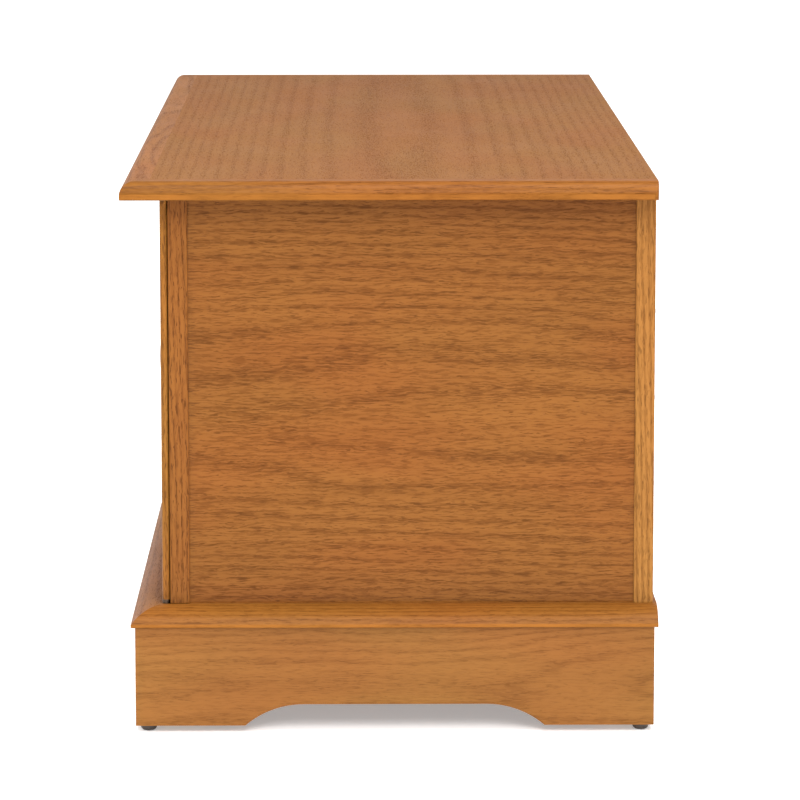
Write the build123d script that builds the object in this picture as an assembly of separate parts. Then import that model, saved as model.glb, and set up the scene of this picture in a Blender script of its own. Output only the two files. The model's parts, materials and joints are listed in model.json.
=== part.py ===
"""Oak media cabinet: three bays over an arched plinth, as separate pieces.

The frame has +X along the length towards the right-hand end, -Y out of the front
and +Z up.  Its origin is on the floor, in the middle of the cabinet's outer box.
"""
import os
from math import acos, ceil, sin

from build123d import *

# ------------------------------------------------------------------ case and base
case_length = 1145.0         # over the two end frames
case_depth = 468.0           # front of the face frame to the back of the case
case_height = 397.0          # deck to the underside of the top
top_thickness = 17.5
top_overhang_end = 37.0
top_overhang_front = 44.0
deck_thickness = 18.0
deck_overhang_end = 29.5
deck_overhang_front = 37.0
deck_overhang_back = 3.5
plinth_height = 97.0
plinth_thickness = 19.0
plinth_set_back = 4.0        # plinth's face behind the deck's nose
foot_length = 105.8          # plinth left standing on each side of an arch
arch_height = 21.0
arch_radius = 86.0

# ------------------------------------------------------------- mouldings and edges
top_edging_width = 28.0
top_curve_width = 13.5       # level part of the top to the nose
top_nose_height = 4.5        # upright part of the nose, under the curve
nose_round = 1.2
top_back_corner = 4.5        # rounding of the top's two back corners, in plan
deck_moulding_width = 45.0
deck_curve_radius = 37.0
deck_nose_round = 1.0

# --------------------------------------------------------------------- case boards
board_thickness = 16.0       # dividers, shelves and end panels
frame_thickness = 19.0       # face frame and rear stiles
frame_edge_round = 1.5
end_stile_width = 26.0
inner_stile_width = 45.0
top_rail_height = 26.0
bottom_rail_height = 26.0
middle_rail_height = 24.0
end_panel_recess = 3.0       # panel's face behind the faces of its stiles
tongue_length = 5.0
tongue_thickness = 8.0
centre_opening_width = 450.0
drawer_opening_height = 104.0
back_thickness = 5.0
back_rebate = 10.0           # width of the rear stiles' rebate for the back

# -------------------------------------------------------------- adjustable shelves
shelf_end_clearance = 1.0
shelf_set_back = 10.0        # shelf's front edge behind the face frame
shelf_back_clearance = 1.0   # shelf's back edge to the rear stiles
pin_radius = 2.5
pin_hole_depth = 9.0
pin_reach = 7.0              # how far a pin stands out of its wall
pin_collar_radius = 3.6
pin_collar_length = 1.2
pin_hole_pitch = 32.0
pin_hole_margin = 85.0       # least height from a bay's floor or ceiling to a hole
pin_hole_inset = 45.0        # holes from the front and back edges of the shelf
shelf_hole = 3               # the hole, counted from the bottom, that a shelf uses

# ------------------------------------------------------------------- cable cut-outs
cable_slot_width = 180.0
cable_slot_height = 60.0
cable_slot_corner = 20.0
cable_hole_radius = 30.0
cable_hole_height = 60.0     # centre of the end bays' holes above the deck

# ------------------------------------------------------------ doors and drawer front
front_thickness = 18.0
lip_thickness = 7.0
lip_gap = 0.6                # lip's back to the face frame
lip_overlap = 20.0           # lip over the inner stiles and the middle rail
lip_round = 2.5
inset_clearance = 2.0        # inset part of a door or drawer front in its opening
front_gap_bottom = 2.4
front_gap_top = 2.9
door_frame_width = 62.0
door_groove_width = 6.0
door_groove_depth = 8.0
door_groove_face = 6.0       # door's front to the groove
panel_side_clearance = 0.1
panel_edge_clearance = 1.0
panel_bevel_width = 26.0
panel_field_depth = 2.0      # raised field behind the door's front

# ---------------------------------------------------------------------- pivot hinges
hinge_thickness = 1.6
pivot_pin_radius = 1.7
pivot_clearance = 0.05
pivot_pin_reach = 3.5        # pin's end beyond the door's leaf
pin_pocket_clearance = 0.6
shoulder_radius = 3.0
shoulder_clearance = 0.3
leaf_length = 36.0
plate_foot_width = 20.0
plate_foot_inset = 2.0       # plate's foot behind the face frame's front
hinge_screw_radius = 1.3
hinge_screw_head = 2.4
hinge_screw_length = 16.0
leaf_screw_length = 12.0

# ------------------------------------------------------------------ magnetic catches
catch_width = 44.0
catch_depth = 15.0
catch_drop = 14.0            # how far the catch hangs below the top rail
catch_rail_gap = 0.5
catch_from_stile = 30.0      # catch's middle from the door's free stile
magnet_width = 30.0
magnet_height = 9.0
magnet_gap = 0.5
strike_width = 38.0
strike_height = 12.0
strike_thickness = 1.2
strike_from_top = 2.0

# ------------------------------------------------------------------------------ knobs
knob_radius = 15.0
knob_head_length = 7.5
knob_neck_radius = 7.5
knob_base_radius = 9.5
knob_projection = 14.0
knob_edge_round = 2.8
knob_screw_radius = 2.0
knob_screw_head_radius = 4.5
knob_screw_head_length = 2.2
knob_screw_bite = 9.0
drawer_knob_spacing = 245.0

# ----------------------------------------------------------------- drawer and slides
drawer_side_thickness = 12.0
drawer_side_height = 84.0
drawer_side_lift = 8.0       # drawer side above the bottom of its opening
drawer_back_room = 92.0      # drawer's back to the cabinet's back
drawer_bottom_thickness = 5.0
drawer_groove_height = 10.0  # drawer side's lower edge to the groove
drawer_groove_depth = 5.0
drawer_back_drop = 6.0       # drawer back below the top of the sides
slide_width = 12.7
slide_height = 36.0
slide_wall = 1.2
slide_clearance = 0.4
slide_set_back = 3.0         # slides behind the back of the drawer front
slide_end_room = 10.0        # slide's end to the end of the drawer side
slide_outer_depth = 9.0
slide_middle_start = 3.2
slide_middle_depth = 6.8
slide_inner_depth = 7.5

# ---------------------------------------------------------------- blocks and fixings
plinth_block_leg = 45.0
plinth_block_drop = 8.0      # plinth block's foot above the plinth's lower edge
glue_block_leg = 22.0
glue_block_length = 90.0
glide_radius = 8.0
glide_height = 7.0
glide_rim = 2.5
glide_inset_front = 12.0     # glide's middle from the plinth's front or back
glide_inset_end = 14.0       # glide's middle from the plinth's end face
glide_nail_radius = 1.2
glide_nail_length = 14.0
wood_screw_radius = 2.0
wood_screw_head = 4.0
wood_screw_length = 45.0
back_screw_radius = 1.6
back_screw_head = 3.8
back_screw_head_height = 1.8
back_screw_bite = 11.0
back_screws_per_line = 5
back_screw_margin = 30.0

# --------------------------------------------------------- places worked out from these
half_case = case_length / 2
half_top = half_case + top_overhang_end
half_deck = half_case + deck_overhang_end
half_plinth = half_deck - plinth_set_back

back_y = (case_depth + top_overhang_front - deck_overhang_back) / 2
front_y = back_y - case_depth
frame_back_y = front_y + frame_thickness
back_panel_y = back_y - back_thickness
rear_stile_y = back_y - frame_thickness
top_front_y = front_y - top_overhang_front
deck_front_y = front_y - deck_overhang_front
deck_back_y = back_y + deck_overhang_back
plinth_front_y = deck_front_y + plinth_set_back

plinth_z = glide_height
deck_z = plinth_z + plinth_height
floor_z = deck_z + deck_thickness
ceiling_z = floor_z + case_height
top_z = ceiling_z + top_thickness

end_opening_x = half_case - end_stile_width
centre_x = centre_opening_width / 2
inner_stile_x = centre_x + inner_stile_width
bay_wall_x = centre_x + board_thickness
end_panel_x = half_case - end_panel_recess
end_wall_x = end_panel_x - board_thickness
opening_floor_z = floor_z + bottom_rail_height
opening_top_z = ceiling_z - top_rail_height
drawer_top_z = opening_floor_z + drawer_opening_height
niche_floor_z = drawer_top_z + middle_rail_height

lip_back_y = front_y - lip_gap
lip_front_y = lip_back_y - lip_thickness
inset_back_y = lip_front_y + front_thickness
lip_floor_z = floor_z + front_gap_bottom
lip_top_z = ceiling_z - front_gap_top
door_free_x = inner_stile_x - lip_overlap
pivot_x = half_case - lip_thickness / 2
pivot_y = lip_front_y + lip_thickness / 2


# --------------------------------------------------------------------- shared shapes
def board(x0, x1, y0, y1, z0, z1):
    """A plain board between two opposite corners."""
    middle = Pos((x0 + x1) / 2, (y0 + y1) / 2, (z0 + z1) / 2)
    return middle * Box(x1 - x0, y1 - y0, z1 - z0)


def prism(points, z0, z1):
    """An upright prism over a plan outline."""
    outline = make_face(Polyline(*points, close=True))
    return extrude(Pos(0, 0, z0) * outline, amount=z1 - z0)


def post(radius, z0, z1):
    """An upright round bar on the Z axis."""
    return Pos(0, 0, (z0 + z1) / 2) * Cylinder(radius, z1 - z0)


def eased(piece, axis, radius, *sides):
    """Round the edges along an axis that pass the given tests on their middle."""
    chosen = piece.edges().filter_by(axis)
    for side in sides:
        chosen = chosen.filter_by(lambda edge, test=side: test(edge.center()))
    return fillet(chosen, radius)


def mirrored(piece):
    """The left-hand twin of a right-hand piece."""
    return mirror(piece, about=Plane.YZ)


def group(pieces):
    """Separate solids that share one node."""
    return Compound([solid for piece in pieces for solid in piece.solids()])


def countersunk_screw(radius, head_radius, length):
    """A flush screw with its head's face at the origin, pointing up."""
    head_height = head_radius - radius
    head = Pos(0, 0, head_height / 2) * Cone(head_radius, radius, head_height)
    return head + post(radius, head_height, length)


def pan_screw(radius, head_radius, head_height, length):
    """A round-headed screw seated at the origin, pointing up."""
    head = post(head_radius, -head_height, 0)
    head = fillet(head.edges().sort_by(Axis.Z)[0], head_height * 0.6)
    return head + post(radius, 0, length)


# ----------------------------------------------------------------------- mouldings
def top_edging_section():
    """Section of the top's edging: nose at x = 0, lower face at y = 0."""
    nose_top = (0, top_nose_height)
    curve_end = (-top_curve_width, top_thickness)
    outline = Line((-nose_round, 0), (-top_edging_width, 0))
    outline += Line((-top_edging_width, 0), (-top_edging_width, top_thickness))
    outline += Line((-top_edging_width, top_thickness), curve_end)
    outline += EllipticalCenterArc(
        (-top_curve_width, top_nose_height),
        top_curve_width,
        top_thickness - top_nose_height,
        start_angle=0,
        arc_size=90,
    )
    outline += Line(nose_top, (0, nose_round))
    outline += CenterArc((-nose_round, nose_round), nose_round, -90, 90)
    return make_face(outline)


def deck_moulding_section():
    """Section of the deck's moulding: nose at x = 0, lower face at y = 0."""
    curve = deck_curve_radius
    drop = curve - (curve**2 - deck_overhang_end**2) ** 0.5
    nose_z = deck_thickness - drop
    curve_start = (-deck_overhang_end, deck_thickness)
    outline = Line((-deck_nose_round, 0), (-deck_moulding_width, 0))
    outline += Line((-deck_moulding_width, 0), (-deck_moulding_width, deck_thickness))
    outline += Line((-deck_moulding_width, deck_thickness), curve_start)
    outline += RadiusArc(curve_start, (0, nose_z), curve)
    outline += Line((0, nose_z), (0, deck_nose_round))
    outline += CenterArc((-deck_nose_round, deck_nose_round), deck_nose_round, -90, 90)
    return make_face(outline)


def front_run(section, half_length, nose_y, z):
    """A section run along the front from end to end, nose to the front."""
    start = Plane(origin=(half_length, nose_y, z), x_dir=(0, -1, 0), z_dir=(-1, 0, 0))
    return extrude(start * section, amount=2 * half_length)


def end_run(section, nose_x, nose_y, end_y, z):
    """A section run along the right-hand end, nose to the right."""
    start = Plane(origin=(nose_x, end_y, z), x_dir=(1, 0, 0), z_dir=(0, -1, 0))
    return extrude(start * section, amount=end_y - nose_y)


def front_plan(half_length, width, nose_y):
    """Plan of a front piece, mitred at both ends."""
    inner_x = half_length - width
    inner_y = nose_y + width
    return [(-half_length, nose_y), (half_length, nose_y), (inner_x, inner_y), (-inner_x, inner_y)]


def end_plan(half_length, width, nose_y, end_y):
    """Plan of a right-hand piece, mitred at the front and square at the back."""
    inner_x = half_length - width
    return [(half_length, nose_y), (half_length, end_y), (inner_x, end_y), (inner_x, nose_y + width)]


def make_top():
    """The top's panel and its three mitred edgings."""
    section = top_edging_section()
    panel_x = half_top - top_edging_width
    panel = board(-panel_x, panel_x, top_front_y + top_edging_width, back_y, ceiling_z, top_z)
    front = front_run(section, half_top, top_front_y, ceiling_z)
    front &= prism(front_plan(half_top, top_edging_width, top_front_y), ceiling_z, top_z)
    right = end_run(section, half_top, top_front_y, back_y, ceiling_z)
    plan = end_plan(half_top, top_edging_width, top_front_y, back_y)
    mitred = prism(plan, ceiling_z, top_z)
    back_corner = mitred.edges().filter_by(Axis.Z).group_by(Axis.Y)[-1].sort_by(Axis.X)[-1]
    right &= fillet(back_corner, top_back_corner)
    return panel, front, right


def make_deck():
    """The deck's panel and its three mitred mouldings."""
    section = deck_moulding_section()
    panel_x = half_deck - deck_moulding_width
    panel_y = deck_front_y + deck_moulding_width
    panel = board(-panel_x, panel_x, panel_y, deck_back_y, deck_z, floor_z)
    front = front_run(section, half_deck, deck_front_y, deck_z)
    front &= prism(front_plan(half_deck, deck_moulding_width, deck_front_y), deck_z, floor_z)
    right = end_run(section, half_deck, deck_front_y, deck_back_y, deck_z)
    plan = end_plan(half_deck, deck_moulding_width, deck_front_y, deck_back_y)
    right &= prism(plan, deck_z, floor_z)
    return panel, front, right


# --------------------------------------------------------------------------- plinth
def arch_face(length):
    """The opening under a plinth board of this length, centred on x = 0."""
    half_width = length / 2 - foot_length
    turn = acos(1 - arch_height / arch_radius)
    flat_x = half_width - arch_radius * sin(turn)
    below = -arch_height
    outline = Polyline((-half_width, 0), (-half_width, below), (half_width, below), (half_width, 0))
    outline += RadiusArc((flat_x, arch_height), (half_width, 0), arch_radius)
    outline += Line((-flat_x, arch_height), (flat_x, arch_height))
    outline += RadiusArc((-half_width, 0), (-flat_x, arch_height), arch_radius)
    return make_face(outline)


def make_plinth():
    """The plinth's front, right-hand end and back boards."""
    front = prism(front_plan(half_plinth, plinth_thickness, plinth_front_y), plinth_z, deck_z)
    front_start = Plane(origin=(0, plinth_front_y, plinth_z), x_dir=(1, 0, 0), z_dir=(0, -1, 0))
    front -= extrude(front_start * arch_face(2 * half_plinth), amount=plinth_thickness * 2, both=True)

    plan = end_plan(half_plinth, plinth_thickness, plinth_front_y, back_y)
    right = prism(plan, plinth_z, deck_z)
    middle_y = (plinth_front_y + back_y) / 2
    end_start = Plane(origin=(half_plinth, middle_y, plinth_z), x_dir=(0, 1, 0), z_dir=(1, 0, 0))
    end_arch = arch_face(back_y - plinth_front_y)
    right -= extrude(end_start * end_arch, amount=plinth_thickness * 2, both=True)

    inner_x = half_plinth - plinth_thickness
    back = board(-inner_x, inner_x, back_y - plinth_thickness, back_y, plinth_z, deck_z)
    return front, right, back


def make_glides():
    """Four nailed glides, one near each corner of the plinth."""
    dome = post(glide_radius, 0, glide_height)
    dome = fillet(dome.edges().sort_by(Axis.Z)[0], glide_height - glide_rim)
    glide = dome + post(glide_nail_radius, glide_height, glide_height + glide_nail_length)
    x = half_plinth - glide_inset_end
    rows = (plinth_front_y + glide_inset_front, back_y - glide_inset_front)
    return [Pos(side * x, y, 0) * glide for side in (-1, 1) for y in rows]


# ----------------------------------------------------------------------------- case
def make_front_frame():
    """Face frame: right-hand outer and inner stiles and the three rails."""
    outer = board(end_opening_x, half_case, front_y, frame_back_y, floor_z, ceiling_z)
    outer = eased(outer, Axis.Z, frame_edge_round, lambda c: c.X > half_case - 1)
    outer -= end_tongue(front_y, frame_back_y)
    inner = board(centre_x, inner_stile_x, front_y, frame_back_y, opening_floor_z, opening_top_z)
    top = board(-end_opening_x, end_opening_x, front_y, frame_back_y, opening_top_z, ceiling_z)
    bottom = board(-end_opening_x, end_opening_x, front_y, frame_back_y, floor_z, opening_floor_z)
    middle = board(-centre_x, centre_x, front_y, frame_back_y, drawer_top_z, niche_floor_z)
    middle = eased(
        middle, Axis.X, frame_edge_round, lambda c: c.Y < front_y + 1, lambda c: c.Z > niche_floor_z - 1
    )
    return outer, inner, top, bottom, middle


def end_tongue(y0, y1):
    """The space that the end panel's tongues fill between two depths."""
    middle_x = (end_panel_x + end_wall_x) / 2
    half = tongue_thickness / 2
    front = frame_back_y - tongue_length
    back = rear_stile_y + tongue_length
    return board(middle_x - half, middle_x + half, max(front, y0), min(back, y1), floor_z, ceiling_z)


def make_end():
    """The right-hand end panel and the rear stile that holds it."""
    panel = board(end_wall_x, end_panel_x, frame_back_y, rear_stile_y, floor_z, ceiling_z)
    panel += end_tongue(front_y, back_y)
    stile = board(end_opening_x, half_case, rear_stile_y, back_y, floor_z, ceiling_z)
    stile = eased(stile, Axis.Z, frame_edge_round, lambda c: c.X > half_case - 1)
    stile -= end_tongue(rear_stile_y, back_y)
    stile -= board(end_opening_x, end_opening_x + back_rebate, back_panel_y, back_y, floor_z, ceiling_z)
    return panel, stile


def pin_rows():
    """Heights of the shelf-pin holes in an end bay."""
    room = case_height - 2 * pin_hole_margin
    count = ceil(room / pin_hole_pitch)
    first = floor_z + (case_height - (count - 1) * pin_hole_pitch) / 2
    return [first + step * pin_hole_pitch for step in range(count)]


def shelf_depths():
    """Front and back edges of an adjustable shelf."""
    return frame_back_y + shelf_set_back, rear_stile_y - shelf_back_clearance


def pin_columns():
    """Depths of the two columns of shelf-pin holes."""
    shelf_front, shelf_back = shelf_depths()
    return shelf_front + pin_hole_inset, shelf_back - pin_hole_inset


def sideways_bar(radius, x0, x1, y, z):
    """A round bar along X."""
    return Pos((x0 + x1) / 2, y, z) * Rot(0, 90, 0) * Cylinder(radius, x1 - x0)


def pin_holes(wall_x, into):
    """Every shelf-pin hole in one wall, drilled from its face."""
    end_x = wall_x + into * pin_hole_depth
    low_x, high_x = sorted((wall_x, end_x))
    return [sideways_bar(pin_radius, low_x, high_x, y, z) for y in pin_columns() for z in pin_rows()]


def shelf_top_z():
    """Upper face of an adjustable shelf that lies on its pins."""
    return pin_rows()[shelf_hole] + pin_radius + board_thickness


def make_shelf():
    """The right-hand bay's shelf and its four pins."""
    shelf_front, shelf_back = shelf_depths()
    top = shelf_top_z()
    low_x = bay_wall_x + shelf_end_clearance
    high_x = end_wall_x - shelf_end_clearance
    shelf = board(low_x, high_x, shelf_front, shelf_back, top - board_thickness, top)
    shelf = eased(shelf, Axis.X, frame_edge_round, lambda c: c.Y < shelf_front + 1)
    pin_z = pin_rows()[shelf_hole]
    pins = []
    for y in pin_columns():
        for wall_x, out in ((bay_wall_x, 1), (end_wall_x, -1)):
            ends = sorted((wall_x - out * pin_hole_depth, wall_x + out * pin_reach))
            collar = sorted((wall_x, wall_x + out * pin_collar_length))
            pin = sideways_bar(pin_radius, *ends, y, pin_z)
            rim = sideways_bar(pin_collar_radius, *collar, y, pin_z)
            rim -= board(low_x, high_x, y - pin_reach, y + pin_reach, pin_z + pin_radius, top)
            pins.append(pin + rim)
    return shelf, pins


def make_divider():
    """The right-hand divider between the middle and an end bay."""
    return board(centre_x, bay_wall_x, frame_back_y, back_panel_y, floor_z, ceiling_z)


def make_centre_shelf():
    """The fixed shelf that is the niche's floor and the drawer's ceiling."""
    low_z = niche_floor_z - board_thickness
    return board(-centre_x, centre_x, frame_back_y, back_panel_y, low_z, niche_floor_z)


def make_back():
    """The thin back, with a cable slot in the middle and a hole for each end bay."""
    half = end_opening_x + back_rebate
    back = board(-half, half, back_panel_y, back_y, floor_z, ceiling_z)
    slot_z = (niche_floor_z + opening_top_z) / 2
    slot = Pos(0, back_y, slot_z) * Box(cable_slot_width, 4 * back_thickness, cable_slot_height)
    back -= fillet(slot.edges().filter_by(Axis.Y), cable_slot_corner)
    hole_x = (bay_wall_x + end_wall_x) / 2
    for side in (-1, 1):
        place = Pos(side * hole_x, back_y, floor_z + cable_hole_height) * Rot(90, 0, 0)
        back -= place * Cylinder(cable_hole_radius, 4 * back_thickness)
    return back


def corner_block(x, y, reach_x, reach_y, z0, z1):
    """An upright three-cornered block in an inside corner."""
    return prism([(x, y), (x + reach_x, y), (x, y + reach_y)], z0, z1)


def edge_block(axis_start, wall_dir, z_dir):
    """A three-cornered block along Y, against a wall and a board over or under it."""
    x, y, z = axis_start
    leg = glue_block_leg
    points = [(x, y, z), (x + wall_dir * leg, y, z), (x, y, z + z_dir * leg)]
    return extrude(make_face(Polyline(*points, close=True)), amount=glue_block_length, dir=(0, 1, 0))


def make_glue_blocks():
    """Softwood blocks inside the plinth's corners and under the top."""
    blocks = []
    inner_x = half_plinth - plinth_thickness
    front = plinth_front_y + plinth_thickness
    back = back_y - plinth_thickness
    for side in (-1, 1):
        for y, reach in ((front, plinth_block_leg), (back, -plinth_block_leg)):
            reach_x = -side * plinth_block_leg
            low = plinth_z + plinth_block_drop
            blocks.append(corner_block(side * inner_x, y, reach_x, reach, low, deck_z))
        bay_depth = back_panel_y - frame_back_y
        for share in (0.25, 0.75):
            y = frame_back_y + share * bay_depth - glue_block_length / 2
            blocks.append(edge_block((side * end_wall_x, y, ceiling_z), -side, -1))
            blocks.append(edge_block((side * bay_wall_x, y, ceiling_z), side, -1))
    return blocks


# ---------------------------------------------------------------- doors and drawer front
def lipped_front(x0, x1, opening_x0, opening_x1, opening_z0, opening_z1, lip_z1, round_end):
    """A front with a thin lip over its opening's frame and a thick inset part."""
    across = Pos((x0 + x1) / 2, (lip_front_y + lip_back_y) / 2) * Rectangle(x1 - x0, lip_thickness)
    front_corners = across.vertices().group_by(Axis.Y)[0].sort_by(Axis.X)
    across = fillet(front_corners[0] if round_end else front_corners, lip_round)
    lip = extrude(Pos(0, 0, lip_floor_z) * across, amount=lip_z1 - lip_floor_z)
    if round_end:
        end = post(lip_thickness / 2, lip_floor_z, lip_z1)
        end_x = x1 - lip_thickness / 2
        lip -= board(end_x, x1, lip_front_y, lip_back_y, lip_floor_z, lip_z1)
        lip += Pos(end_x, pivot_y, 0) * end
    upright = Plane.YZ * Pos((lip_front_y + lip_back_y) / 2, (lip_floor_z + lip_z1) / 2)
    upright = upright * Rectangle(lip_thickness, lip_z1 - lip_floor_z)
    upright = fillet(upright.vertices().group_by(Axis.Y)[0], lip_round)
    lip &= extrude(Pos(x0, 0, 0) * upright, amount=x1 - x0)
    inset = board(
        opening_x0 + inset_clearance,
        opening_x1 - inset_clearance,
        lip_back_y,
        inset_back_y,
        opening_z0 + inset_clearance,
        opening_z1 - inset_clearance,
    )
    return lip + inset


def groove_band(x0, x1, z0, z1):
    """The slab of space that the door's groove runs in, between two corners."""
    low = lip_front_y + door_groove_face
    return board(x0, x1, low, low + door_groove_width, z0, z1)


def make_door_panel(x0, x1, z0, z1):
    """A raised panel that floats in the groove round this opening."""
    reach = door_groove_depth - panel_edge_clearance
    tongue_y = lip_front_y + door_groove_face + panel_side_clearance
    tongue_back = lip_front_y + door_groove_face + door_groove_width - panel_side_clearance
    slab = board(x0 - reach, x1 + reach, tongue_y, tongue_back, z0 - reach, z1 + reach)
    field_y = lip_front_y + panel_field_depth
    centre = ((x0 + x1) / 2, (z0 + z1) / 2)
    faces = []
    for y, inset in ((tongue_y, 0), (field_y, panel_bevel_width)):
        plane = Plane(origin=(centre[0], y, centre[1]), x_dir=(1, 0, 0), z_dir=(0, -1, 0))
        faces.append(plane * Rectangle(x1 - x0 - 2 * inset, z1 - z0 - 2 * inset))
    return slab + loft(faces)


def make_knob(x, z):
    """A low turned knob on a front, and the screw that holds it from behind."""
    neck_length = knob_projection - knob_head_length
    neck = Pos(0, 0, neck_length / 2) * Cone(knob_base_radius, knob_neck_radius, neck_length)
    head = post(knob_radius, neck_length, knob_projection)
    head = fillet(head.edges(), knob_edge_round)
    screw_reach = front_thickness + knob_screw_bite
    screw = pan_screw(knob_screw_radius, knob_screw_head_radius, knob_screw_head_length, screw_reach)
    knob = (neck + head) - Pos(0, 0, -front_thickness) * screw
    outwards = Rot(90, 0, 0)
    knob = Pos(x, lip_front_y, z) * outwards * knob
    screw = Pos(x, inset_back_y, z) * outwards * screw
    return knob, screw


def make_door():
    """The right-hand door's frame, panel, knob and fittings."""
    sides = door_free_x, half_case, inner_stile_x, end_opening_x
    blank = lipped_front(*sides, opening_floor_z, opening_top_z, lip_top_z, True)
    width = door_frame_width
    free_x = door_free_x + width
    hinge_x = half_case - width
    low_z = lip_floor_z + width
    high_z = lip_top_z - width
    reach = door_groove_depth
    y0 = lip_front_y - 1
    y1 = inset_back_y + 1
    groove = groove_band(free_x - reach, hinge_x + reach, low_z - reach, high_z + reach)
    window = board(free_x, hinge_x, y0, y1, low_z, high_z)
    stub_z = opening_floor_z + inset_clearance, opening_top_z - inset_clearance
    stile_groove = groove_band(free_x - reach, hinge_x + reach, *stub_z)
    stub_tenons = groove_band(free_x - reach, free_x, *stub_z)
    stub_tenons += groove_band(hinge_x, hinge_x + reach, *stub_z)

    hinge_stile = blank & board(hinge_x, half_case, y0, y1, lip_floor_z, lip_top_z)
    free_stile = blank & board(door_free_x, free_x, y0, y1, lip_floor_z, lip_top_z)
    middle = blank & board(free_x, hinge_x, y0, y1, lip_floor_z, lip_top_z)
    middle = middle + stub_tenons - window - groove
    top_rail = middle & board(door_free_x, half_case, y0, y1, high_z, lip_top_z)
    bottom_rail = middle & board(door_free_x, half_case, y0, y1, lip_floor_z, low_z)
    panel = make_door_panel(free_x, hinge_x, low_z, high_z)

    knob, knob_screw = make_knob(door_free_x + width / 2, (lip_floor_z + lip_top_z) / 2)
    strike, strike_screw = make_strike()
    leaves, leaf_screws, pockets = make_leaves()
    for fitting in leaves + leaf_screws + pockets:
        hinge_stile -= fitting
    free_stile -= knob_screw
    top_rail -= strike_screw
    return {
        "hinge_stile": hinge_stile - stile_groove,
        "free_stile": free_stile - stile_groove,
        "top_rail": top_rail,
        "bottom_rail": bottom_rail,
        "panel": panel,
        "knob": group([knob, knob_screw]),
        "strike_plate": group([strike - strike_screw, strike_screw]),
        "pivot_leaves": group(leaves + leaf_screws),
    }


def hinge_levels():
    """For the lower and upper hinge: case face, door face and the way into the door."""
    return ((floor_z, lip_floor_z, 1), (ceiling_z, lip_top_z, -1))


def make_leaves():
    """The door's two pivot leaves, their screws and the pockets for the pins."""
    leaves, screws, pockets = [], [], []
    radius = lip_thickness / 2
    for _, door_z, into in hinge_levels():
        z0, z1 = sorted((door_z, door_z + into * hinge_thickness))
        leaf = post(radius, z0, z1)
        leaf += board(-leaf_length, 0, -radius, radius, z0, z1)
        leaf -= post(pivot_pin_radius + pivot_clearance, z0, z1)
        pocket_end = door_z + into * (hinge_thickness + pivot_pin_reach + pin_pocket_clearance)
        pocket = post(pivot_pin_radius + pin_pocket_clearance, *sorted((door_z, pocket_end)))
        place = Pos(pivot_x, pivot_y, 0)
        turned = Rot(0, 0, 0) if into > 0 else Rot(180, 0, 0)
        for share in (0.4, 0.85):
            at = Pos(-share * leaf_length, 0, door_z)
            screw = countersunk_screw(hinge_screw_radius, hinge_screw_head, leaf_screw_length)
            screw = at * turned * screw
            leaf -= screw
            screws.append(place * screw)
        leaves.append(place * leaf)
        pockets.append(place * pocket)
    return leaves, screws, pockets


def make_pivot_plates():
    """The case's two pivot plates with their pins, and their screws."""
    plates, screws = [], []
    radius = lip_thickness / 2
    foot_y = front_y + plate_foot_inset
    foot_back_y = frame_back_y - plate_foot_inset
    for case_z, door_z, into in hinge_levels():
        z0, z1 = sorted((case_z, case_z - into * hinge_thickness))
        plate = Pos(pivot_x, pivot_y, 0) * post(radius, z0, z1)
        plate += board(pivot_x - radius, half_case, pivot_y, foot_back_y, z0, z1)
        plate += board(half_case - plate_foot_width, half_case, foot_y, foot_back_y, z0, z1)
        pin_start = case_z - into * hinge_thickness
        pin_end = door_z + into * (hinge_thickness + pivot_pin_reach)
        plate += Pos(pivot_x, pivot_y, 0) * post(pivot_pin_radius, *sorted((pin_start, pin_end)))
        shoulder_end = door_z - into * shoulder_clearance
        plate += Pos(pivot_x, pivot_y, 0) * post(shoulder_radius, *sorted((case_z, shoulder_end)))
        turned = Rot(180, 0, 0) if into > 0 else Rot(0, 0, 0)
        for share in (0.25, 0.75):
            at = Pos(half_case - share * plate_foot_width, (foot_y + foot_back_y) / 2, case_z)
            screw = countersunk_screw(hinge_screw_radius, hinge_screw_head, hinge_screw_length)
            screws.append(at * turned * screw)
            plate -= screws[-1]
        plates.append(plate)
    return plates, screws


def catch_place():
    """Where the right-hand catch's middle is along the case."""
    return door_free_x + door_frame_width + catch_from_stile


def strike_levels():
    """Lower and upper edges of the strike plate."""
    high = opening_top_z - inset_clearance - strike_from_top
    return high - strike_height, high


def make_strike():
    """The strike plate on the back of the door, and its screw."""
    low, high = strike_levels()
    x = catch_place()
    y1 = inset_back_y + strike_thickness
    strike = board(x - strike_width / 2, x + strike_width / 2, inset_back_y, y1, low, high)
    strike = fillet(strike.edges().filter_by(Axis.Y), frame_edge_round)
    screw = countersunk_screw(hinge_screw_radius, hinge_screw_head, leaf_screw_length)
    screw = Pos(x, y1, (low + high) / 2) * Rot(90, 0, 0) * screw
    return strike, screw


def make_catch():
    """A magnetic catch on the back of the top rail: its case and its magnet."""
    x = catch_place()
    half = catch_width / 2
    low = opening_top_z - catch_drop
    high = opening_top_z + catch_drop
    nose_y = inset_back_y + strike_thickness + magnet_gap
    case = board(x - half, x + half, frame_back_y, frame_back_y + catch_depth, low, high)
    nose_top = opening_top_z - catch_rail_gap
    case += board(x - half, x + half, nose_y, frame_back_y, low, nose_top)
    middle_z = sum(strike_levels()) / 2
    half_magnet = magnet_width / 2
    magnet = board(
        x - half_magnet,
        x + half_magnet,
        nose_y,
        frame_back_y,
        middle_z - magnet_height / 2,
        middle_z + magnet_height / 2,
    )
    return [case - magnet, magnet]


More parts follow.
